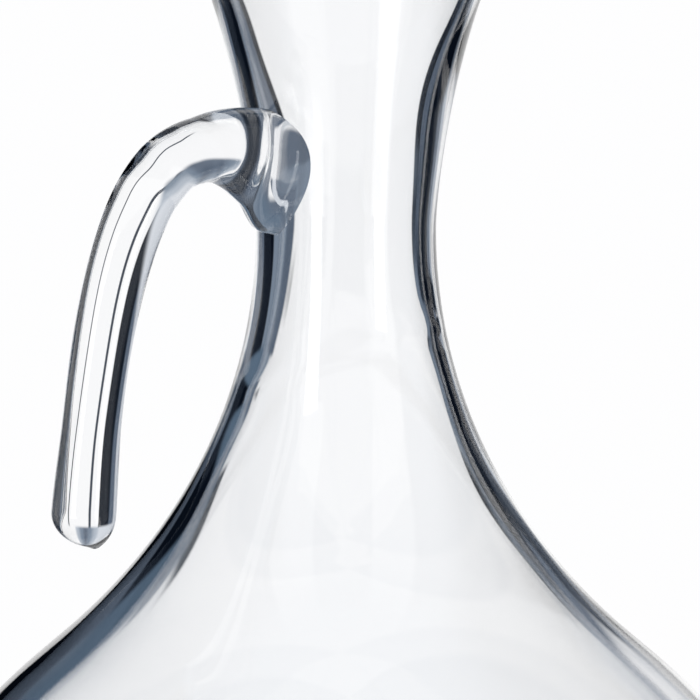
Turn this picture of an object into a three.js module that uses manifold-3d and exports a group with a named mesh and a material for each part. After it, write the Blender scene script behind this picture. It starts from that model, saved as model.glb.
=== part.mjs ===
// Glass decanter: a blown vessel with a wide bowl and a flared neck, and a solid glass rod applied to the neck
// as a hook handle. Millimetres, +Z up. The origin is the middle of the foot, and the handle points along +Y.

import * as THREE from 'three';
import { mergeVertices } from 'three/addons/utils/BufferGeometryUtils.js';
import Module from 'manifold-3d';

const wasm = await Module();
wasm.setup();

// Vessel, outside: foot, bowl, shoulder, neck and mouth. Radii are from the axis, heights from the table.
const TOTAL_HEIGHT = 242;
const FOOT_RADIUS = 60;
const FOOT_RING_WIDTH = 12;
const PUNT_DEPTH = 7;
const BOWL_RADIUS = 95;
const BOWL_HEIGHT = 35.3;
const SHOULDER_RADIUS = 61.4;
const SHOULDER_HEIGHT = 88;
const SHOULDER_LEAN = 50;
const NECK_RADIUS = 18.9;
const NECK_HEIGHT = 174.9;
const MOUTH_RADIUS = 36;
const MOUTH_LEAN = 30.5;

// How far each stretch of the outline runs on along its tangent before it turns
const FOOT_PULL = 17;
const BOWL_PULL_DOWN = 20;
const BOWL_PULL_UP = 25;
const SHOULDER_PULL_DOWN = 12;
const SHOULDER_PULL_UP = 10;
const NECK_PULL_DOWN = 52;
const NECK_PULL_UP = 8;
const MOUTH_PULL = 25;

// Vessel, wall thickness
const BASE_WALL = 6;
const BOWL_WALL = 4.2;
const SHOULDER_WALL = 5.6;
const THROAT_WALL = 3.6;
const THROAT_HEIGHT = 130;
const NECK_WALL = 4;
const LIP_WALL = 2.6;

// Handle: the rod's middle line, from the seal on the neck over the knee to the free tip.
// Reaches are from the neck's narrowest wall, and drops are from the middle of the seal.
const SEAL_RISE = 15.6;
const SEAL_ANGLE = 9.6;
const KNEE_REACH = 37.9;
const KNEE_DROP = 13.7;
const KNEE_LEAN = 26.5;
const TIP_REACH = 50.4;
const TIP_DROP = 78.3;
const TIP_LEAN = 5.5;
const SEAL_PULL = 17.8;
const KNEE_PULL_IN = 20.3;
const KNEE_PULL_OUT = 17;
const TIP_PULL = 19.2;

// Handle: the rod's sections
const ROOT_DIAMETER = 14.1;
const GRIP_DIAMETER = 12.1;
const GRIP_PLACE = 0.82;
const TIP_DIAMETER = 13.2;
const TIP_ROUND = 6.8;
const TIP_SKEW = 2.6;
const PAD_WIDTH = 19.8;
const PAD_ABOVE = 9.1;
const PAD_BELOW = 16.4;
const PAD_POINT = 0.46;
const PAD_THICKNESS = 1;
const PAD_FLARE_LENGTH = 7;
const FLARE_LENGTH = 19.6;
const HEEL_DEPTH = 13.3;
const HEEL_SHARPNESS = 1.2;
const SEAL_GAP = 0.3;

// Facets
const TURN_FACES = 60;
const ROD_FACES = 24;
const ROD_STEP = 2.2;
const TIP_RINGS = 5;
const LIP_STEPS = 6;

const { degToRad, smoothstep, lerp } = THREE.MathUtils;

// A direction in the meridian plane, leaning out from straight up by the given angle
function leaning(angle) {
  return new THREE.Vector2(Math.sin(degToRad(angle)), Math.cos(degToRad(angle)));
}

// A smooth arc from one point to another, leaving and arriving along the given directions
function arc(from, leave, leavePull, to, arrive, arrivePull) {
  return new THREE.CubicBezierCurve(
    from,
    from.clone().addScaledVector(leave, leavePull),
    to.clone().addScaledVector(arrive, -arrivePull),
    to,
  );
}

// The stretches of the outside from the foot to the lip, each with its number of steps
function outsideStretches() {
  const out = new THREE.Vector2(1, 0);
  const up = leaning(0);
  const shoulderWay = leaning(-SHOULDER_LEAN);
  const mouthWay = leaning(MOUTH_LEAN);
  const lipRise = (1 + Math.sin(degToRad(MOUTH_LEAN))) * LIP_WALL / 2;
  const foot = new THREE.Vector2(FOOT_RADIUS, 0);
  const bowl = new THREE.Vector2(BOWL_RADIUS, BOWL_HEIGHT);
  const shoulder = new THREE.Vector2(SHOULDER_RADIUS, SHOULDER_HEIGHT);
  const neck = new THREE.Vector2(NECK_RADIUS, NECK_HEIGHT);
  const mouth = new THREE.Vector2(MOUTH_RADIUS, TOTAL_HEIGHT - lipRise);
  return [
    { curve: arc(foot, out, FOOT_PULL, bowl, up, BOWL_PULL_DOWN), steps: 7 },
    { curve: arc(bowl, up, BOWL_PULL_UP, shoulder, shoulderWay, SHOULDER_PULL_DOWN), steps: 7 },
    { curve: arc(shoulder, shoulderWay, SHOULDER_PULL_UP, neck, up, NECK_PULL_DOWN), steps: 10 },
    { curve: arc(neck, up, NECK_PULL_UP, mouth, mouthWay, MOUTH_PULL), steps: 8 },
  ];
}

// Points along the outside, each with its outward normal
function outsideStations() {
  const stations = [];
  for (const { curve, steps } of outsideStretches()) {
    const first = stations.length === 0 ? 0 : 1;
    for (let i = first; i <= steps; i += 1) {
      const tangent = curve.getTangentAt(i / steps);
      stations.push({ point: curve.getPointAt(i / steps), normal: new THREE.Vector2(tangent.y, -tangent.x) });
    }
  }
  return stations;
}

// Wall thickness at a height: it swells and thins smoothly between the named walls
function wallAt(height) {
  const walls = [
    [0, BASE_WALL],
    [BOWL_HEIGHT, BOWL_WALL],
    [SHOULDER_HEIGHT, SHOULDER_WALL],
    [THROAT_HEIGHT, THROAT_WALL],
    [NECK_HEIGHT, NECK_WALL],
    [TOTAL_HEIGHT, LIP_WALL],
  ];
  const next = Math.max(1, walls.findIndex(([top]) => height <= top));
  const [low, lowWall] = walls[next - 1];
  const [high, highWall] = walls[next];
  return lerp(lowWall, highWall, smoothstep(height, low, high));
}

// The outside moved along its normals: outwards for a positive distance
function moved(station, distance) {
  return station.point.clone().addScaledVector(station.normal, distance);
}

// Revolves a meridian (radius, height) about the Z axis
function revolve(meridian) {
  return new THREE.LatheGeometry(meridian, TURN_FACES).rotateX(Math.PI / 2);
}

// The domed floor over the punt, from the axis out to the foot ring
function puntArc(rim, height) {
  const out = new THREE.Vector2(1, 0);
  const crown = new THREE.Vector2(0, height + PUNT_DEPTH);
  return arc(crown, out, rim / 2, new THREE.Vector2(rim, height), out, rim / 4).getPoints(6);
}

function vesselGeometry() {
  const stations = outsideStations();
  const lip = stations.at(-1);
  const lipMiddle = moved(lip, -LIP_WALL / 2);
  const lipRound = [];
  for (let i = 1; i < LIP_STEPS; i += 1) {
    const turn = Math.PI * i / LIP_STEPS;
    const spoke = lip.normal.clone().rotateAround(new THREE.Vector2(), turn);
    lipRound.push(lipMiddle.clone().addScaledVector(spoke, LIP_WALL / 2));
  }
  const underside = puntArc(FOOT_RADIUS - FOOT_RING_WIDTH, 0);
  const outside = stations.map((station) => station.point);
  const inside = stations.map((station) => moved(station, -wallAt(station.point.y))).reverse();
  const floor = puntArc(FOOT_RADIUS, BASE_WALL).reverse().slice(1);
  return revolve([...underside, ...outside, ...lipRound, ...inside, ...floor]);
}

// The vessel's outside as one filled body, grown by a clearance
function vesselEnvelope(clearance) {
  const shell = outsideStations().map((station) => moved(station, clearance));
  const bottom = new THREE.Vector2(0, shell[0].y);
  const top = new THREE.Vector2(0, shell.at(-1).y);
  return revolve([bottom, ...shell, top]);
}

// The rod's middle line in the handle's own plane: (reach from the axis, height)
function rodLine() {
  const seal = new THREE.Vector2(NECK_RADIUS, NECK_HEIGHT + SEAL_RISE);
  const knee = new THREE.Vector2(NECK_RADIUS + KNEE_REACH, seal.y - KNEE_DROP);
  const tip = new THREE.Vector2(NECK_RADIUS + TIP_REACH, seal.y - TIP_DROP + TIP_ROUND);
  const sealWay = leaning(90 - SEAL_ANGLE);
  const kneeWay = leaning(180 - KNEE_LEAN);
  const tipWay = leaning(180 - TIP_LEAN);
  const buried = seal.clone().addScaledVector(sealWay, -NECK_RADIUS / 2);
  const line = new THREE.CurvePath();
  line.add(new THREE.LineCurve(buried, seal));
  line.add(arc(seal, sealWay, SEAL_PULL, knee, kneeWay, KNEE_PULL_IN));
  line.add(arc(knee, kneeWay, KNEE_PULL_OUT, tip, tipWay, TIP_PULL));
  return line;
}

// The rod's radius at a share of its length: it draws in to the grip and thickens to the tip
function rodRadius(share) {
  const grip = GRIP_DIAMETER / 2;
  if (share < GRIP_PLACE) {
    return lerp(ROOT_DIAMETER / 2, grip, smoothstep(share, 0, GRIP_PLACE));
  }
  return lerp(grip, TIP_DIAMETER / 2, smoothstep(share, GRIP_PLACE, 1));
}

// One ring of the handle: a circle on the rod, a teardrop with its point down at the pad
function ring(middle, tangent, size) {
  const points = [];
  const outer = new THREE.Vector2(-tangent.y, tangent.x);
  for (let i = 0; i < ROD_FACES; i += 1) {
    const turn = 2 * Math.PI * i / ROD_FACES;
    const rise = Math.cos(turn);
    const along = rise * (rise > 0 ? size.above : size.below);
    const narrowing = 1 - size.point * Math.max(0, -rise) ** 2;
    const place = middle.clone().addScaledVector(outer, along);
    points.push(new THREE.Vector3(size.half * Math.sin(turn) * narrowing, place.x, place.y));
  }
  return points;
}

// Closes a row of rings into one body, with a point in the middle of each end
function loft(rings, firstMiddle, lastMiddle) {
  const positions = [firstMiddle, ...rings.flat(), lastMiddle].flatMap((point) => point.toArray());
  const faces = [];
  const last = 1 + rings.length * ROD_FACES;
  for (let i = 0; i < ROD_FACES; i += 1) {
    const j = (i + 1) % ROD_FACES;
    faces.push(0, 1 + j, 1 + i);
    faces.push(last, last - ROD_FACES + i, last - ROD_FACES + j);
    for (let row = 1; row + ROD_FACES < last; row += ROD_FACES) {
      const next = row + ROD_FACES;
      faces.push(row + i, next + j, next + i);
      faces.push(row + i, row + j, next + j);
    }
  }
  const geometry = new THREE.BufferGeometry();
  geometry.setAttribute('position', new THREE.Float32BufferAttribute(positions, 3));
  geometry.setIndex(faces);
  return geometry;
}

function inHandlePlane(point) {
  return new THREE.Vector3(0, point.x, point.y);
}

function rodGeometry() {
  const line = rodLine();
  const length = line.getLength();
  const wall = NECK_RADIUS / 2 + PAD_THICKNESS;
  const steps = Math.ceil(length / ROD_STEP);
  const rings = [];
  for (let i = 0; i <= steps; i += 1) {
    const distance = length * i / steps;
    const radius = rodRadius(distance / length);
    const flare = 1 - smoothstep(distance, wall, wall + FLARE_LENGTH);
    const pad = 1 - smoothstep(distance, wall, wall + PAD_FLARE_LENGTH);
    const heel = lerp(radius, HEEL_DEPTH, flare ** HEEL_SHARPNESS);
    rings.push(ring(line.getPointAt(i / steps), line.getTangentAt(i / steps), {
      half: lerp(radius, PAD_WIDTH / 2, pad),
      above: lerp(radius, PAD_ABOVE, Math.sqrt(flare)),
      below: lerp(heel, PAD_BELOW, pad),
      point: PAD_POINT * Math.sqrt(flare),
    }));
  }
  const tip = line.getPointAt(1);
  const tipWay = line.getTangentAt(1);
  const inward = new THREE.Vector2(tipWay.y, -tipWay.x);
  const tipMiddle = (turn) => tip.clone()
    .addScaledVector(tipWay, TIP_ROUND * Math.sin(turn))
    .addScaledVector(inward, TIP_SKEW * (1 - Math.cos(turn)));
  for (let i = 1; i < TIP_RINGS; i += 1) {
    const turn = Math.PI / 2 * i / TIP_RINGS;
    const radius = TIP_DIAMETER / 2 * Math.cos(turn);
    rings.push(ring(tipMiddle(turn), tipWay, { half: radius, above: radius, below: radius, point: 0 }));
  }
  return loft(rings, inHandlePlane(line.getPointAt(0)), inHandlePlane(tipMiddle(Math.PI / 2)));
}

// A closed geometry as a solid that can be cut
function toSolid(geometry) {
  const bare = geometry.clone();
  bare.deleteAttribute('normal');
  bare.deleteAttribute('uv');
  const merged = mergeVertices(bare);
  return new wasm.Manifold(new wasm.Mesh({
    numProp: 3,
    vertProperties: new Float32Array(merged.attributes.position.array),
    triVerts: new Uint32Array(merged.index.array),
  }));
}

function toGeometry(solid) {
  const mesh = solid.getMesh();
  const geometry = new THREE.BufferGeometry();
  geometry.setAttribute('position', new THREE.Float32BufferAttribute(mesh.vertProperties, 3));
  geometry.setIndex(Array.from(mesh.triVerts));
  geometry.computeVertexNormals();
  return geometry;
}

// The rod and its pad, cut to saddle the neck
function handleGeometry() {
  return toGeometry(toSolid(rodGeometry()).subtract(toSolid(vesselEnvelope(SEAL_GAP))));
}

function clearGlass(color) {
  return new THREE.MeshStandardMaterial({ color, roughness: 0.03, metalness: 0, transparent: true, opacity: 0.35 });
}

const vessel = new THREE.Mesh(vesselGeometry(), clearGlass(0xeef2f6));
vessel.name = 'vessel';

const handle = new THREE.Mesh(handleGeometry(), clearGlass(0xe9eef3));
handle.name = 'handle';

const decanter = new THREE.Group();
decanter.add(vessel, handle);

export default decanter;
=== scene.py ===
"""Clear glass decanter with an applied hook handle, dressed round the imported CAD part.

Shape sizes are in millimetres, as on the solids, and become metres when a mesh is made.
"""

import math

import bpy
import numpy as np
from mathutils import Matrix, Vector


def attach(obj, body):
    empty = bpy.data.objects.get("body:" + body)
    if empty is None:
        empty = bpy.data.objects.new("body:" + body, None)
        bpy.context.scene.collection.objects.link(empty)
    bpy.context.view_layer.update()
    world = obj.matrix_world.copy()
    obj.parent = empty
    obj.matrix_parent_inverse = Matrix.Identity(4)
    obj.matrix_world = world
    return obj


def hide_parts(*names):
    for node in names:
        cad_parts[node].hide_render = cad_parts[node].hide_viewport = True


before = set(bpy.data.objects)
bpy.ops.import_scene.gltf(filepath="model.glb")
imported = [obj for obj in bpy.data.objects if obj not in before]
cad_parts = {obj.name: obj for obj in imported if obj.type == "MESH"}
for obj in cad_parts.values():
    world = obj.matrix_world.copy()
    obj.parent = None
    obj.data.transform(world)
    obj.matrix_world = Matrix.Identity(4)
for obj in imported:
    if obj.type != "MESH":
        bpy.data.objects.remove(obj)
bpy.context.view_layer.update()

MM = 0.001

# Vessel, outside: heights from the table, radii from the axis
TOTAL_HEIGHT = 242.0
FOOT_RADIUS = 60.0
FOOT_RING_WIDTH = 12.0
PUNT_DEPTH = 7.0
BOWL_RADIUS = 95.0
BOWL_HEIGHT = 35.3
SHOULDER_RADIUS = 61.4
SHOULDER_HEIGHT = 88.0
SHOULDER_LEAN = 50.0
NECK_RADIUS = 18.9
NECK_HEIGHT = 174.9
MOUTH_RADIUS = 36.0
MOUTH_LEAN = 30.5
FOOT_PULL = 17.0
BOWL_PULL_DOWN = 20.0
BOWL_PULL_UP = 25.0
SHOULDER_PULL_DOWN = 12.0
SHOULDER_PULL_UP = 10.0
NECK_PULL_DOWN = 52.0
NECK_PULL_UP = 8.0
MOUTH_PULL = 25.0

# Vessel, wall thickness
BASE_WALL = 6.0
BOWL_WALL = 4.2
SHOULDER_WALL = 5.6
THROAT_WALL = 3.6
THROAT_HEIGHT = 130.0
NECK_WALL = 4.0
LIP_WALL = 2.6

# Vessel, floor: pulls of the punt's curve at its crown and its rim, as shares of its radius
PUNT_CROWN_PULL = 1 / 2
PUNT_RIM_PULL = 1 / 4

# Vessel, how the blown inner wall wanders outwards and back. A wave is its size in millimetres, its count
# round the axis, its radians for each millimetre of height and its start. Rings lie one above the other,
# one side of the wall is thicker, and a shallow groove runs round the foot of the neck. All of it dies away
# towards the foot and the lip, between the two heights of a pair.
WALL_WAVES = (
    (0.16, 2, 0.040, 0.6),
    (0.11, 3, -0.075, 2.1),
)
RING_SIZE = 0.15
RING_CLIMB = 0.15
RING_TILT = 1.2
RING_START = 0.4
HEAVY_SIDE = 50.0
HEAVY_EXTRA = 0.45
GROOVE_HEIGHT = 148.0
GROOVE_TILT = 6.0
GROOVE_DEPTH = 0.35
GROOVE_WIDTH = 3.5
CALM_BELOW = (8.0, 40.0)
CALM_ABOVE = (215.0, 240.0)

# Handle, middle line and sections. The line starts inside the neck, a buried length behind its wall.
BURIED_LENGTH = NECK_RADIUS / 2
SEAL_RISE = 15.6
SEAL_ANGLE = 9.6
KNEE_REACH = 37.9
KNEE_DROP = 13.7
KNEE_LEAN = 26.5
TIP_REACH = 50.4
TIP_DROP = 78.3
TIP_LEAN = 5.5
SEAL_PULL = 17.8
KNEE_PULL_IN = 20.3
KNEE_PULL_OUT = 17.0
TIP_PULL = 19.2
ROOT_DIAMETER = 14.1
GRIP_DIAMETER = 12.1
GRIP_PLACE = 0.82
TIP_DIAMETER = 13.2
TIP_ROUND = 6.8
TIP_SKEW = 2.6
PAD_WIDTH = 19.8
PAD_ABOVE = 9.1
PAD_BELOW = 16.4
PAD_POINT = 0.46
PAD_THICKNESS = 1.0
FLARE_LENGTH = 19.6
PAD_FLARE_LENGTH = 7.0
HEEL_DEPTH = 13.3
HEEL_SHARPNESS = 1.2
SEAT_GAP = 0.02
NUB_PLACE = 1.6
NUB_HEIGHT = 0.6
NUB_RADIUS = 1.5

# Handle, how the drawn rod's surface wanders: waves as on the vessel, by distance along the rod, and folds
# that are deepest under the arch
ROD_WAVES = (
    (0.05, 2, 0.10, 0.0),
    (0.03, 3, -0.17, 1.0),
)
FOLD_SIZE = 0.15
FOLD_CLIMB = 0.50
FOLD_TILT = 2.0
FOLD_ABOVE = 0.25
ARCH_PLACE = 30.0
ARCH_SPREAD = 8.0

# Glass. Its faint marks are given by their number per metre along each axis and their depth.
GLASS_COLOUR = (0.994, 0.997, 1.0)
GLASS_IOR = 1.48
BLOWN_MARKS = (60.0, 60.0, 25.0)
BLOWN_MARK_DEPTH = 0.02
DRAWN_MARKS = (450.0, 450.0, 22.0)
DRAWN_MARK_DEPTH = 0.005

# Mesh density, and the finer steps that curves are measured with
CURVE_SAMPLES = 600
BURIED_SAMPLES = 60
BEND_SAMPLES = 200
TURN_STEPS = 160
STRETCH_STEPS = (26, 26, 44, 36)
LIP_STEPS = 14
PUNT_STEPS = 16
ROD_SIDES = 72
ROD_STEPS = 150
TIP_RINGS = 14
SHARP_ANGLE = 40.0

# The photograph's camera: its direction and distance, and the width it takes in at the vessel's axis
VIEW_AZIMUTH = 230.0
VIEW_ELEVATION = 4.0
VIEW_DISTANCE = 1200.0
VIEW_WIDTH = 147.0
VIEW_CENTRE_HEIGHT = 149.1
VIEW_SIDE_SHIFT = 0.84

# Stage, in metres, degrees and watts. A pair is where a change starts and where it is full, as distances from
# the axis. A strip light is its name, bearing, height and power.
FLOOR_RADIUS = 1.05
FLOOR_SIDES = 96
FLOOR_COLOUR = (0.90, 0.90, 0.905)
FLOOR_FADE = (0.16, 0.42)
# Where the table's painted shine of the left strip light begins
LEFT_SHINE_START = (0.42, 0.56)
STRIP_DISTANCE = 0.8
STRIP_WIDTH = 0.20
STRIPS = (
    ("strip_right", 182.0, 0.38, 0.75),
    ("strip_left", 103.0, 0.65, 1.25),
)
LIGHT_BOUNCES = 24


# Curves in the meridian plane


def leaning(angle):
    """A direction (outwards, up) that leans out from straight up by an angle in degrees."""
    return np.array([math.sin(math.radians(angle)), math.cos(math.radians(angle))])


def smoothstep(value, low, high):
    share = np.clip((value - low) / (high - low), 0.0, 1.0)
    return share * share * (3.0 - 2.0 * share)


def lerp(a, b, share):
    return a + (b - a) * share


def arc(start, leave, leave_pull, end, arrive, arrive_pull):
    """The four control points of a cubic arc."""
    return np.array([start, start + leave * leave_pull, end - arrive * arrive_pull, end])


def evenly(path, ways, steps):
    """Points and unit directions at equal distances along a fine path, and those distances."""
    travelled = np.concatenate([[0.0], np.cumsum(np.linalg.norm(np.diff(path, axis=0), axis=1))])
    distance = np.linspace(0.0, travelled[-1], steps + 1)
    points, directions = (
        np.stack([np.interp(distance, travelled, values[:, k]) for k in range(2)], axis=1)
        for values in (path, ways)
    )
    return points, directions / np.linalg.norm(directions, axis=1)[:, None], distance


def along(control, steps):
    """Points and unit tangents at equal distances along a cubic arc."""
    share = np.linspace(0.0, 1.0, CURVE_SAMPLES)[:, None]
    back = 1.0 - share
    p0, p1, p2, p3 = control
    path = back**3 * p0 + 3 * back**2 * share * p1 + 3 * back * share**2 * p2 + share**3 * p3
    slope = back**2 * (p1 - p0) + 2 * back * share * (p2 - p1) + share**2 * (p3 - p2)
    slope = slope / np.linalg.norm(slope, axis=1)[:, None]
    return evenly(path, slope, steps)[:2]


def at_stations(height, stations):
    """A value that swells and thins smoothly between (height, value) stations."""
    value = np.full(np.shape(height), float(stations[0][1]))
    for (low, low_value), (high, high_value) in zip(stations, stations[1:]):
        value = value + (high_value - low_value) * smoothstep(height, low, high)
    return value


def waves(turn, length, table):
    """The sum of sine waves that wind round a piece, in millimetres."""
    return sum(size * np.sin(count * turn + climb * length + start) for size, count, climb, start in table)


# Meshes


def make_mesh(name, points, faces):
    mesh = bpy.data.meshes.new(name)
    mesh.from_pydata((np.asarray(points) * MM).tolist(), [], faces)
    mesh.validate()
    mesh.shade_smooth()
    piece = bpy.data.objects.new(name, mesh)
    bpy.context.scene.collection.objects.link(piece)
    return piece


def tube_faces(rings, sides, start, end):
    """Faces of a row of rings, closed by a fan to a single point at its start and its end."""
    faces = []
    last = (rings - 1) * sides
    for k in range(sides):
        n = (k + 1) % sides
        faces.append((start, n, k))
        faces.append((end, last + k, last + n))
        for row in range(0, last, sides):
            faces.append((row + k, row + n, row + sides + n, row + sides + k))
    return faces


# Vessel


def outside_of_vessel():
    """Points and outward normals of the vessel's outside, from the foot to the lip."""
    out, up = np.array([1.0, 0.0]), leaning(0.0)
    shoulder_way, mouth_way = leaning(-SHOULDER_LEAN), leaning(MOUTH_LEAN)
    lip_rise = (1.0 + math.sin(math.radians(MOUTH_LEAN))) * LIP_WALL / 2
    foot = np.array([FOOT_RADIUS, 0.0])
    bowl = np.array([BOWL_RADIUS, BOWL_HEIGHT])
    shoulder = np.array([SHOULDER_RADIUS, SHOULDER_HEIGHT])
    neck = np.array([NECK_RADIUS, NECK_HEIGHT])
    mouth = np.array([MOUTH_RADIUS, TOTAL_HEIGHT - lip_rise])
    stretches = [
        arc(foot, out, FOOT_PULL, bowl, up, BOWL_PULL_DOWN),
        arc(bowl, up, BOWL_PULL_UP, shoulder, shoulder_way, SHOULDER_PULL_DOWN),
        arc(shoulder, shoulder_way, SHOULDER_PULL_UP, neck, up, NECK_PULL_DOWN),
        arc(neck, up, NECK_PULL_UP, mouth, mouth_way, MOUTH_PULL),
    ]
    points, tangents = [], []
    for control, steps in zip(stretches, STRETCH_STEPS):
        first = 1 if points else 0
        stretch_points, stretch_tangents = along(control, steps)
        points.extend(stretch_points[first:])
        tangents.extend(stretch_tangents[first:])
    tangents = np.array(tangents)
    return np.array(points), np.stack([tangents[:, 1], -tangents[:, 0]], axis=1)


def wall_at(height):
    return at_stations(height, [
        (0.0, BASE_WALL),
        (BOWL_HEIGHT, BOWL_WALL),
        (SHOULDER_HEIGHT, SHOULDER_WALL),
        (THROAT_HEIGHT, THROAT_WALL),
        (NECK_HEIGHT, NECK_WALL),
        (TOTAL_HEIGHT, LIP_WALL),
    ])


def ripple(turn, height):
    """How far the blown inner wall wanders outwards, in millimetres, by turn about the axis and height."""
    rings = RING_SIZE * np.sin(RING_CLIMB * height + RING_TILT * np.sin(turn) + RING_START)
    towards_heavy = np.cos(turn - math.radians(HEAVY_SIDE))
    groove_height = GROOVE_HEIGHT - GROOVE_TILT * towards_heavy
    groove = GROOVE_DEPTH * np.exp(-(((height - groove_height) / GROOVE_WIDTH) ** 2))
    total = waves(turn, height, WALL_WAVES) + rings - HEAVY_EXTRA * towards_heavy + groove
    return total * smoothstep(height, *CALM_BELOW) * (1.0 - smoothstep(height, *CALM_ABOVE))


def punt_dome(rim, height):
    """The floor over the punt, from the axis out to its rim."""
    out = np.array([1.0, 0.0])
    crown, edge = np.array([0.0, height + PUNT_DEPTH]), np.array([rim, height])
    return along(arc(crown, out, rim * PUNT_CROWN_PULL, edge, out, rim * PUNT_RIM_PULL), PUNT_STEPS)[0]


def revolve(name, meridian, offset=None):
    """A closed mesh of a meridian (radius, height) that starts and ends on the axis.

    offset(turns) gives the move (outwards, up) of each ring's points at those turns, in millimetres.
    """
    turns = np.linspace(0.0, 2 * math.pi, TURN_STEPS, endpoint=False)
    rings = meridian[1:-1]
    radius = np.repeat(rings[:, :1], TURN_STEPS, axis=1)
    height = np.repeat(rings[:, 1:], TURN_STEPS, axis=1)
    if offset is not None:
        move = offset(turns[None, :])
        radius = radius + move[..., 0]
        height = height + move[..., 1]
    points = np.stack([radius * np.cos(turns), radius * np.sin(turns), height], axis=-1).reshape(-1, 3)
    bottom, top = len(points), len(points) + 1
    points = np.vstack([points, [0.0, 0.0, meridian[0, 1]], [0.0, 0.0, meridian[-1, 1]]])
    return make_mesh(name, points, tube_faces(len(rings), TURN_STEPS, bottom, top))


def make_vessel():
    points, normals = outside_of_vessel()
    wall = wall_at(points[:, 1])
    inside = (points - normals * wall[:, None])[::-1]
    lip_middle = points[-1] - normals[-1] * LIP_WALL / 2
    lip = []
    for k in range(1, LIP_STEPS):
        turn = math.pi * k / LIP_STEPS
        spoke = np.array([
            normals[-1, 0] * math.cos(turn) - normals[-1, 1] * math.sin(turn),
            normals[-1, 0] * math.sin(turn) + normals[-1, 1] * math.cos(turn),
        ])
        lip.append(lip_middle + spoke * LIP_WALL / 2)
    under = punt_dome(FOOT_RADIUS - FOOT_RING_WIDTH, 0.0)
    floor = punt_dome(FOOT_RADIUS, BASE_WALL)[::-1][1:]
    meridian = np.vstack([under, points, lip, inside, floor])
    first_inside = len(under) + len(points) + len(lip) - 1
    outward = normals[::-1]

    def offset(turns):
        move = np.zeros((len(meridian) - 2, turns.shape[1], 2))
        amount = ripple(turns, inside[:, 1:])
        move[first_inside:first_inside + len(inside)] = amount[..., None] * outward[:, None, :]
        return move

    return revolve("vessel_glass", meridian, offset)


def make_envelope(gap):
    """The vessel's outside as one filled body, larger by a gap all round."""
    points, normals = outside_of_vessel()
    shell = points + normals * gap
    bottom = np.array([[0.0, shell[0, 1]]])
    top = np.array([[0.0, shell[-1, 1]]])
    return revolve("envelope", np.vstack([bottom, shell, top]))


# Handle


def rod_line():
    """Points and tangents of the rod's middle line (reach, height), and their distances along it."""
    seal = np.array([NECK_RADIUS, NECK_HEIGHT + SEAL_RISE])
    knee = np.array([NECK_RADIUS + KNEE_REACH, seal[1] - KNEE_DROP])
    tip = np.array([NECK_RADIUS + TIP_REACH, seal[1] - TIP_DROP + TIP_ROUND])
    seal_way, knee_way = leaning(90.0 - SEAL_ANGLE), leaning(180.0 - KNEE_LEAN)
    tip_way = leaning(180.0 - TIP_LEAN)
    buried = seal - seal_way * BURIED_LENGTH
    pieces = [
        along(arc(buried, seal_way, BURIED_LENGTH / 3, seal, seal_way, BURIED_LENGTH / 3), BURIED_SAMPLES),
        along(arc(seal, seal_way, SEAL_PULL, knee, knee_way, KNEE_PULL_IN), BEND_SAMPLES),
        along(arc(knee, knee_way, KNEE_PULL_OUT, tip, tip_way, TIP_PULL), BEND_SAMPLES),
    ]
    points = np.vstack([pieces[0][0], pieces[1][0][1:], pieces[2][0][1:]])
    tangents = np.vstack([pieces[0][1], pieces[1][1][1:], pieces[2][1][1:]])
    return evenly(points, tangents, ROD_STEPS)


def rod_radius(share):
    grip = GRIP_DIAMETER / 2
    drawn = lerp(ROOT_DIAMETER / 2, grip, smoothstep(share, 0.0, GRIP_PLACE))
    return drawn + (TIP_DIAMETER / 2 - grip) * smoothstep(share, GRIP_PLACE, 1.0)


def rod_waves(turn, distance):
    """How far the drawn rod's surface wanders, in millimetres: slow twists, and folds under the arch."""
    free = distance - BURIED_LENGTH
    under = FOLD_ABOVE + (1.0 - FOLD_ABOVE) * np.maximum(0.0, -np.cos(turn))
    arch = np.exp(-(((free - ARCH_PLACE) / ARCH_SPREAD) ** 2))
    folds = FOLD_SIZE * np.sin(FOLD_CLIMB * distance + FOLD_TILT * np.sin(turn)) * under * arch
    return (waves(turn, distance, ROD_WAVES) + folds) * smoothstep(free, 0.0, PAD_FLARE_LENGTH)


def ring(middle, tangent, half, above, below, point, distance):
    """One ring of the handle: a circle on the rod, a teardrop with its point down at the pad."""
    turn = np.linspace(0.0, 2 * math.pi, ROD_SIDES, endpoint=False)
    rise = np.cos(turn)
    wave = 1.0 + rod_waves(turn, distance) / half
    reach = rise * np.where(rise > 0, above, below) * wave
    narrowing = (1.0 - point * np.maximum(0.0, -rise) ** 2) * wave
    outer = np.array([-tangent[1], tangent[0]])
    return np.stack([
        half * np.sin(turn) * narrowing,
        middle[0] + outer[0] * reach,
        middle[1] + outer[1] * reach,
    ], axis=1)


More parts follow.
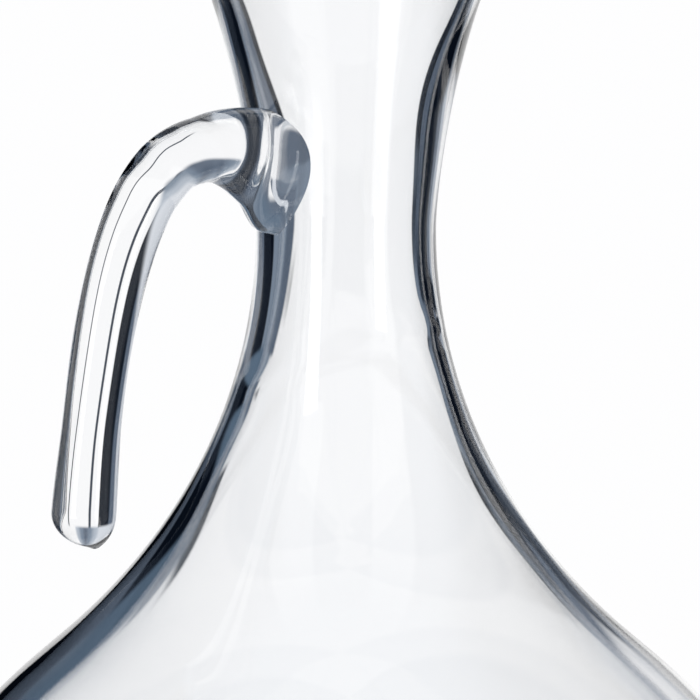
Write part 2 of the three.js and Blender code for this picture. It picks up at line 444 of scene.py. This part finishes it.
def make_handle():
    points, ways, distance = rod_line()
    rings = []
    for middle, way, here in zip(points, ways, distance):
        radius = rod_radius(here / distance[-1])
        past_pad = here - BURIED_LENGTH - PAD_THICKNESS
        flare = 1.0 - smoothstep(past_pad, 0.0, FLARE_LENGTH)
        pad = 1.0 - smoothstep(past_pad, 0.0, PAD_FLARE_LENGTH)
        rings.append(ring(
            middle, way,
            half=lerp(radius, PAD_WIDTH / 2, pad),
            above=lerp(radius, PAD_ABOVE, math.sqrt(flare)),
            below=lerp(lerp(radius, HEEL_DEPTH, flare**HEEL_SHARPNESS), PAD_BELOW, pad),
            point=PAD_POINT * math.sqrt(flare),
            distance=here,
        ))
    tip, tip_way = points[-1], ways[-1]
    inward = np.array([tip_way[1], -tip_way[0]])

    def tip_middle(turn):
        return tip + tip_way * TIP_ROUND * math.sin(turn) + inward * TIP_SKEW * (1.0 - math.cos(turn))

    end = tip_middle(math.pi / 2)
    for k in range(1, TIP_RINGS):
        turn = math.pi / 2 * k / TIP_RINGS
        radius = TIP_DIAMETER / 2 * math.cos(turn)
        cap = ring(tip_middle(turn), tip_way, radius, radius, radius, 0.0, distance[-1])
        apart = cap[:, 1:] - (end + inward * NUB_PLACE)
        nub = NUB_HEIGHT * np.exp(-((apart @ inward) ** 2 + cap[:, 0] ** 2) / NUB_RADIUS**2)
        cap[:, 1:] += nub[:, None] * tip_way
        rings.append(cap)
    vertices = np.vstack(rings + [[[0.0, *points[0]], [0.0, *end]]])
    root, far = len(vertices) - 2, len(vertices) - 1
    return make_mesh("handle_glass", vertices, tube_faces(len(rings), ROD_SIDES, root, far))


# Seating without fusing: each piece keeps its own closed mesh, and the pad's seat follows the neck's wall


def cut(piece, tool):
    """Cuts a tool out of a piece; the new faces take the tool's material."""
    modifier = piece.modifiers.new("cut", "BOOLEAN")
    modifier.operation = "DIFFERENCE"
    modifier.solver = "EXACT"
    modifier.object = tool
    modifier.material_mode = "TRANSFER"
    graph = bpy.context.evaluated_depsgraph_get()
    made = bpy.data.meshes.new_from_object(piece.evaluated_get(graph))
    piece.modifiers.clear()
    old = piece.data
    piece.data = made
    made.name = old.name
    bpy.data.meshes.remove(old)


def remove(piece):
    mesh = piece.data
    bpy.data.objects.remove(piece)
    bpy.data.meshes.remove(mesh)


# Materials


def glass(name, marks, depth):
    """Clear glass whose surface carries faint marks."""
    material = bpy.data.materials.new(name)
    material.use_nodes = True
    tree = material.node_tree
    shader = tree.nodes["Principled BSDF"]
    shader.inputs["Base Color"].default_value = (*GLASS_COLOUR, 1.0)
    shader.inputs["Roughness"].default_value = 0.0
    shader.inputs["IOR"].default_value = GLASS_IOR
    shader.inputs["Transmission Weight"].default_value = 1.0
    place = tree.nodes.new("ShaderNodeTexCoord")
    stretch = tree.nodes.new("ShaderNodeMapping")
    stretch.inputs["Scale"].default_value = marks
    noise = tree.nodes.new("ShaderNodeTexNoise")
    noise.inputs["Scale"].default_value = 1.0
    noise.inputs["Detail"].default_value = 1.0
    bump = tree.nodes.new("ShaderNodeBump")
    bump.inputs["Distance"].default_value = depth * MM
    tree.links.new(place.outputs["Object"], stretch.inputs["Vector"])
    tree.links.new(stretch.outputs["Vector"], noise.inputs["Vector"])
    tree.links.new(noise.outputs["Fac"], bump.inputs["Height"])
    tree.links.new(bump.outputs["Normal"], shader.inputs["Normal"])
    return material


def seam_material():
    """The pad's seat inside the joint, where glass meets glass and nothing shows."""
    material = bpy.data.materials.new("fused_contact")
    material.use_nodes = True
    tree = material.node_tree
    tree.nodes.clear()
    clear = tree.nodes.new("ShaderNodeBsdfTransparent")
    output = tree.nodes.new("ShaderNodeOutputMaterial")
    tree.links.new(clear.outputs["BSDF"], output.inputs["Surface"])
    return material


def give(piece, material):
    piece.data.materials.clear()
    piece.data.materials.append(material)


# Stage


def make_camera():
    azimuth, elevation = math.radians(VIEW_AZIMUTH), math.radians(VIEW_ELEVATION)
    toward = Vector((
        math.sin(azimuth) * math.cos(elevation),
        -math.cos(azimuth) * math.cos(elevation),
        math.sin(elevation),
    ))
    right = Vector((math.cos(azimuth), math.sin(azimuth), 0.0))
    data = bpy.data.cameras.new("camera")
    data.angle = 2 * math.atan(VIEW_WIDTH / 2 / VIEW_DISTANCE)
    camera = bpy.data.objects.new("camera", data)
    target = Vector((0.0, 0.0, VIEW_CENTRE_HEIGHT)) + right * VIEW_SIDE_SHIFT
    camera.location = (target + toward * VIEW_DISTANCE) * MM
    camera.rotation_euler = (-toward).to_track_quat("-Z", "Y").to_euler()
    bpy.context.scene.collection.objects.link(camera)
    bpy.context.scene.camera = camera


class Nodes:
    """Short ways to add nodes to one shader tree."""

    # Sockets of the Mix node when it mixes colours
    MIX_SHARE, MIX_FIRST, MIX_SECOND = 0, 6, 7
    MIXED_COLOUR = 2

    def __init__(self, tree):
        self.tree = tree
        tree.nodes.clear()

    def add(self, kind, **settings):
        made = self.tree.nodes.new(kind)
        for key, value in settings.items():
            setattr(made, key, value)
        return made

    def join(self, output, socket):
        self.tree.links.new(output, socket)

    def put(self, socket, value):
        if isinstance(value, bpy.types.NodeSocket):
            self.join(value, socket)
        elif isinstance(value, tuple):
            socket.default_value = (*value, 1.0)
        else:
            socket.default_value = value

    def math(self, operation, *values):
        made = self.add("ShaderNodeMath", operation=operation)
        for socket, value in zip(made.inputs, values):
            self.put(socket, value)
        return made.outputs[0]

    def ramp(self, value, start, end):
        """0 to 1 as the value goes from start to end."""
        made = self.add("ShaderNodeMapRange", interpolation_type="SMOOTHSTEP")
        self.put(made.inputs["Value"], value)
        self.put(made.inputs["From Min"], start)
        self.put(made.inputs["From Max"], end)
        return made.outputs[0]

    def band(self, value, low, high, soft):
        """1 between low and high, and 0 outside, with soft edges."""
        above = self.ramp(value, low - soft, low + soft)
        below = self.ramp(value, high + soft, high - soft)
        return self.math("MULTIPLY", above, below)

    def mix(self, share, first, second):
        made = self.add("ShaderNodeMix", data_type="RGBA")
        self.put(made.inputs[self.MIX_SHARE], share)
        self.put(made.inputs[self.MIX_FIRST], first)
        self.put(made.inputs[self.MIX_SECOND], second)
        return made.outputs[self.MIXED_COLOUR]

    def bearing(self, vector):
        """Degrees about the vertical axis, from -180 to 180, and the vector's parts."""
        parts = self.add("ShaderNodeSeparateXYZ")
        self.join(vector, parts.inputs[0])
        turn = self.math("ARCTAN2", parts.outputs["Y"], parts.outputs["X"])
        return self.math("MULTIPLY", turn, 180 / math.pi), parts.outputs

    def zones(self, bearing, ground, zones):
        """A colour over bearings: each zone (low, high, softness, colour) covers the ones before it."""
        colour = ground
        for low, high, soft, tint in zones:
            colour = self.mix(self.band(bearing, low, high, soft), colour, tint)
        return colour

    def gradient(self, bearing, stops):
        """A colour that runs smoothly over bearings from one stop (bearing, colour) to the next."""
        place, colour = stops[0]
        for next_place, tint in stops[1:]:
            colour = self.mix(self.ramp(bearing, place, next_place), colour, tint)
            place = next_place
        return colour


# Studio, and the colours that paint the glass's dark bands and highlights
WHITE = (0.99, 0.99, 0.995)
PALE = (0.72, 0.75, 0.80)
MIST = (0.45, 0.50, 0.57)
STEEL = (0.20, 0.25, 0.32)
SLATE = (0.11, 0.14, 0.19)
BLUE = (0.10, 0.15, 0.215)
DIM = (0.035, 0.045, 0.065)
DARK = (0.003, 0.005, 0.010)
SKY = (0.42, 0.50, 0.60)
# The brightness of the strip lights' painted shine on the table
STRIP = (3.0, 3.0, 3.0)

# Zones (low, high, softness, colour) and stops (bearing, colour) go by bearing, in degrees. White panels
# stand behind the glass for each side that it is looked at from, with painted dark bands and highlights
# between them.
SIDE_PANELS = (
    (72.0, 108.0, 2.0, WHITE),
    (162.0, 190.0, 2.0, WHITE),
    (-190.0, -162.0, 2.0, WHITE),
)
# Table for rays going well down, through the glass and mirrored inside its wall: white here, painted shade
# elsewhere
TABLE = (
    (-92.0, -2.0, 3.0, WHITE),
    (110.0, 160.0, 3.0, WHITE),
    *SIDE_PANELS,
)
INNER_TABLE = (
    (-56.0, 60.0, 2.0, WHITE),
    *TABLE[1:],
)
# Painted shade at the far right, from slate into dark, and the same as the pad shows it
FAR_RIGHT = (
    (-134.0, SLATE),
    (-118.0, DARK),
)
PAD_FAR_RIGHT = (
    (-130.0, SLATE),
    (-110.0, DIM),
    (-96.0, DARK),
)
# Painted dark bands and white highlights that hollow glass lets through: at eye level, lower and higher
EYE_LEVEL = (
    *FAR_RIGHT,
    (-59.4, DARK),
    (-58.4, SLATE),
    (-56.5, STEEL),
    (-54.2, STEEL),
    (-53.0, WHITE),
    (-24.5, WHITE),
    (-22.5, SLATE),
    (-17.0, SLATE),
    (-12.0, STEEL),
    (20.0, STEEL),
    (32.0, SLATE),
)
LOW = (
    *FAR_RIGHT,
    (-66.0, DARK),
    (-64.0, SLATE),
    (-58.4, SLATE),
    (-57.4, DARK),
    (-53.8, DARK),
    (-52.8, WHITE),
    (-27.2, WHITE),
    (-26.0, DARK),
    (-24.4, DARK),
    (-23.0, SLATE),
)
HIGH = (
    *FAR_RIGHT,
    (-66.0, DARK),
    (-64.0, SLATE),
    (-54.2, STEEL),
    (-53.0, WHITE),
    (-23.0, WHITE),
    (-20.0, STEEL),
    (20.0, STEEL),
    (32.0, SLATE),
)
# Painted dark bands and white highlights, mirrored inside the wall: at eye level, as rays begin to rise,
# lower and higher. The first two are alike on the left.
INNER_LEFT = (
    (-42.0, WHITE),
    (-37.0, STEEL),
    (-31.0, SLATE),
    (-18.5, SLATE),
    (-15.0, DARK),
    (6.0, DARK),
    (10.0, STEEL),
    (28.0, STEEL),
    (36.0, SLATE),
)
INNER = (
    *FAR_RIGHT,
    (-78.0, DARK),
    (-72.5, SLATE),
    (-68.0, SLATE),
    (-65.0, MIST),
    (-61.0, MIST),
    (-57.0, WHITE),
    *INNER_LEFT,
)
INNER_RISING = (
    *FAR_RIGHT,
    (-64.0, DARK),
    (-61.5, DIM),
    (-58.0, MIST),
    (-55.0, WHITE),
    *INNER_LEFT,
)
INNER_LOW = (
    *FAR_RIGHT,
    (-62.5, DARK),
    (-60.5, SLATE),
    (-55.0, SLATE),
    (-53.0, WHITE),
    (-32.0, WHITE),
    (-29.0, STEEL),
    (-22.0, SLATE),
    (-17.0, DARK),
    (4.0, DARK),
    (9.0, STEEL),
    (28.0, STEEL),
    (36.0, SLATE),
)
INNER_HIGH = (
    *FAR_RIGHT,
    (-76.0, DARK),
    (-72.0, SLATE),
    (-68.5, SLATE),
    (-62.0, WHITE),
    (-42.0, WHITE),
    (-36.0, STEEL),
    (-25.0, STEEL),
    (-17.0, BLUE),
    (10.0, BLUE),
    (30.0, SLATE),
)
# Painted bands and highlights, mirrored inside and seen through the pad's seat: at eye level and higher
PAD = (
    *PAD_FAR_RIGHT,
    (-52.0, DARK),
    (-46.0, SLATE),
    (-38.0, WHITE),
    (-15.0, WHITE),
    (-11.0, SLATE),
    (3.0, SLATE),
    (8.0, WHITE),
    (30.0, WHITE),
    (40.0, SLATE),
)
PAD_HIGH = (
    *PAD_FAR_RIGHT,
    (-32.0, DARK),
    (-22.0, STEEL),
    (-8.0, BLUE),
    (14.0, SLATE),
    (19.0, PALE),
    (25.0, PALE),
    (28.0, SLATE),
)
# Painted dark bands and white highlights through the solid rod: at eye level and higher
SOLID = (
    (-100.0, STEEL),
    (-84.0, SLATE),
    (-78.0, SLATE),
    (-75.5, WHITE),
    (-57.6, WHITE),
    (-56.9, DIM),
    (-56.1, DIM),
    (-55.4, WHITE),
    (-32.6, WHITE),
    (-31.6, DIM),
    (-29.8, DIM),
    (-28.6, WHITE),
    (-20.0, WHITE),
    (-18.4, DARK),
    (-2.0, DARK),
    (4.0, SLATE),
    (12.0, SLATE),
    (20.0, PALE),
    (60.0, PALE),
    (66.0, DARK),
)
SOLID_HIGH = (
    (-100.0, STEEL),
    (-80.0, SLATE),
    (-74.0, WHITE),
    (-50.0, WHITE),
    (-46.0, MIST),
    (-41.0, STEEL),
    (-36.0, SLATE),
    (-30.0, STEEL),
    (-22.0, MIST),
    (-14.0, PALE),
    (60.0, PALE),
    (66.0, DARK),
)
# Mirrored on the outside, at eye level and higher: the white backdrop, and the pale room on the camera's
# side
ROOM = (
    (-74.0, -6.0, 1.0, WHITE),
    (80.0, 192.0, 10.0, PALE),
    (-192.0, -130.0, 12.0, PALE),
)
ROOM_HIGH = (
    (-78.0, -60.5, 1.5, SLATE),
    (-51.3, -26.0, 0.8, WHITE),
    *ROOM[1:],
)
# The two strip lights' painted shine on the table, which the table glows with where the glass mirrors it
RIGHT_SHINE = (
    (172.0, 190.0, 2.5, STRIP),
    (-190.0, -169.0, 2.5, STRIP),
)
LEFT_SHINE = ((93.0, 113.0, 2.5, STRIP),)
# Limits of a ray's rise, which is the sine of its elevation: where each part starts to show, and where it
# shows fully
CEILING_LIMITS = (0.80, 0.99)
TABLE_LIMITS = (-0.30, -0.40)
DEEP_TABLE_LIMITS = (-0.38, -0.45)
LOW_LIMITS = (-0.035, -0.08)
HIGH_LIMITS = (0.03, 0.08)
INNER_RISING_LIMITS = (-0.035, 0.0)
INNER_LOW_LIMITS = (-0.15, -0.22)
INNER_HIGH_LIMITS = (0.13, 0.20)
PAD_HIGH_LIMITS = (0.0, 0.06)
SOLID_HIGH_LIMITS = (0.13, 0.22)
ROOM_HIGH_LIMITS = (0.03, 0.09)
# A ray through the solid rod crosses two faces, and one through the hollow vessel at least four
SOLID_CROSSINGS = 2.5


def make_world():
    world = bpy.data.worlds.new("studio")
    bpy.context.scene.world = world
    world.use_nodes = True
    nodes = Nodes(world.node_tree)
    where = nodes.add("ShaderNodeTexCoord")
    bearing, parts = nodes.bearing(where.outputs["Generated"])
    path = nodes.add("ShaderNodeLightPath")

    def rise(limits):
        return nodes.ramp(parts["Z"], *limits)

    def layered(stops, *layers):
        """Stops at eye level, and layers (limits, stops) that take their place lower or higher."""
        colour = nodes.gradient(bearing, stops)
        for limits, layer in layers:
            colour = nodes.mix(rise(limits), colour, nodes.gradient(bearing, layer))
        return colour

    def with_table(colour, under):
        """A colour all round, with the side panels set in it and a table under it."""
        return nodes.mix(rise(TABLE_LIMITS), nodes.zones(bearing, colour, SIDE_PANELS), under)

    white_table = nodes.zones(bearing, MIST, TABLE)
    inner_table = nodes.zones(bearing, DIM, INNER_TABLE)
    inner_table = nodes.mix(rise(DEEP_TABLE_LIMITS), inner_table, white_table)
    hollow = with_table(layered(EYE_LEVEL, (LOW_LIMITS, LOW), (HIGH_LIMITS, HIGH)), white_table)
    rod = with_table(layered(SOLID, (SOLID_HIGH_LIMITS, SOLID_HIGH)), white_table)
    pad = layered(PAD, (PAD_HIGH_LIMITS, PAD_HIGH))
    mirrored_inside = layered(
        INNER,
        (INNER_RISING_LIMITS, INNER_RISING),
        (INNER_LOW_LIMITS, INNER_LOW),
        (INNER_HIGH_LIMITS, INNER_HIGH),
    )
    mirrored_inside = with_table(mirrored_inside, inner_table)

    # Which colour a transmitted ray meets depends on how it crossed the glass: this paints the dark bands and
    # highlights in the glass
    solid = nodes.math("LESS_THAN", path.outputs["Transmission Depth"], SOLID_CROSSINGS)
    inside = nodes.math("MINIMUM", path.outputs["Glossy Depth"], 1.0)
    seated = nodes.math("MINIMUM", path.outputs["Transparent Depth"], 1.0)
    through = nodes.mix(solid, hollow, rod)
    through = nodes.mix(inside, through, nodes.mix(seated, mirrored_inside, pad))
    mirrored = nodes.zones(bearing, DARK, ROOM)
    mirrored = nodes.mix(rise(ROOM_HIGH_LIMITS), mirrored, nodes.zones(bearing, DARK, ROOM_HIGH))
    ceiling = rise(CEILING_LIMITS)
    through = nodes.mix(ceiling, through, SKY)
    mirrored = nodes.mix(ceiling, mirrored, SKY)
    shown = nodes.mix(path.outputs["Is Diffuse Ray"], mirrored, WHITE)
    shown = nodes.mix(path.outputs["Is Transmission Ray"], shown, through)
    shown = nodes.mix(path.outputs["Is Camera Ray"], shown, WHITE)
    background = nodes.add("ShaderNodeBackground")
    nodes.join(shown, background.inputs["Color"])
    output = nodes.add("ShaderNodeOutputWorld")
    nodes.join(background.outputs[0], output.inputs["Surface"])


def make_floor():
    """A pale round table that fades to white away from the object, keeps its shadow, and glows with painted
    reflections.
    """
    turns = [2 * math.pi * k / FLOOR_SIDES for k in range(FLOOR_SIDES)]
    rim = [(FLOOR_RADIUS * math.cos(turn), FLOOR_RADIUS * math.sin(turn), 0.0) for turn in turns]
    mesh = bpy.data.meshes.new("floor")
    mesh.from_pydata(rim, [], [tuple(range(FLOOR_SIDES))])
    floor = bpy.data.objects.new("floor", mesh)
    bpy.context.scene.collection.objects.link(floor)
    material = bpy.data.materials.new("floor_white")
    material.use_nodes = True
    nodes = Nodes(material.node_tree)
    pale = nodes.add("ShaderNodeBsdfDiffuse")
    nodes.put(pale.inputs["Color"], FLOOR_COLOUR)
    where = nodes.add("ShaderNodeTexCoord")
    bearing, _ = nodes.bearing(where.outputs["Object"])
    reach = nodes.add("ShaderNodeVectorMath", operation="LENGTH")
    nodes.join(where.outputs["Object"], reach.inputs[0])
    far = nodes.ramp(reach.outputs["Value"], *FLOOR_FADE)
    path = nodes.add("ShaderNodeLightPath")
    # Where the glass mirrors the table, the table glows with a painted reflection: the room's zones and the
    # strip lights' shine, dark elsewhere
    beyond = nodes.ramp(reach.outputs["Value"], *LEFT_SHINE_START)
    mirrored = nodes.zones(bearing, DARK, ROOM + RIGHT_SHINE)
    mirrored = nodes.mix(beyond, mirrored, nodes.zones(bearing, mirrored, LEFT_SHINE))
    colour = nodes.mix(path.outputs["Is Camera Ray"], mirrored, WHITE)
    glow = nodes.add("ShaderNodeEmission")
    nodes.join(colour, glow.inputs["Color"])
    faded = nodes.math("MULTIPLY", far, path.outputs["Is Camera Ray"])
    share = nodes.math("MAXIMUM", path.outputs["Is Glossy Ray"], faded)
    surface = nodes.add("ShaderNodeMixShader")
    nodes.join(share, surface.inputs[0])
    nodes.join(pale.outputs[0], surface.inputs[1])
    nodes.join(glow.outputs[0], surface.inputs[2])
    output = nodes.add("ShaderNodeOutputMaterial")
    nodes.join(surface.outputs[0], output.inputs["Surface"])
    mesh.materials.append(material)
    floor.visible_transmission = False


def strip_light(name, bearing, height, power):
    """An upright strip that stands on the table's level and faces the object."""
    data = bpy.data.lights.new(name, "AREA")
    data.shape = "RECTANGLE"
    data.size = STRIP_WIDTH
    data.size_y = height
    data.energy = power
    lamp = bpy.data.objects.new(name, data)
    turn = math.radians(bearing)
    away = Vector((math.cos(turn), math.sin(turn), 0.0))
    lamp.location = away * STRIP_DISTANCE + Vector((0.0, 0.0, height / 2))
    lamp.rotation_euler = away.to_track_quat("Z", "Y").to_euler()
    lamp.visible_camera = False
    lamp.visible_transmission = False
    bpy.context.scene.collection.objects.link(lamp)


scene = bpy.context.scene
scene.view_settings.view_transform = "Standard"
scene.cycles.max_bounces = LIGHT_BOUNCES
scene.cycles.transmission_bounces = LIGHT_BOUNCES
scene.cycles.transparent_max_bounces = LIGHT_BOUNCES

make_camera()
make_world()
make_floor()
for strip in STRIPS:
    strip_light(*strip)

seam = seam_material()
clear_vessel = glass("blown_clear_glass", BLOWN_MARKS, BLOWN_MARK_DEPTH)
clear_handle = glass("drawn_clear_glass", DRAWN_MARKS, DRAWN_MARK_DEPTH)

handle = make_handle()
give(handle, clear_handle)
envelope = make_envelope(SEAT_GAP)
give(envelope, seam)
cut(handle, envelope)
remove(envelope)

vessel = make_vessel()
give(vessel, clear_vessel)

for piece, node in ((vessel, "vessel"), (handle, "handle")):
    piece.data.set_sharp_from_angle(angle=math.radians(SHARP_ANGLE))
    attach(piece, "root")
    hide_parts(node)
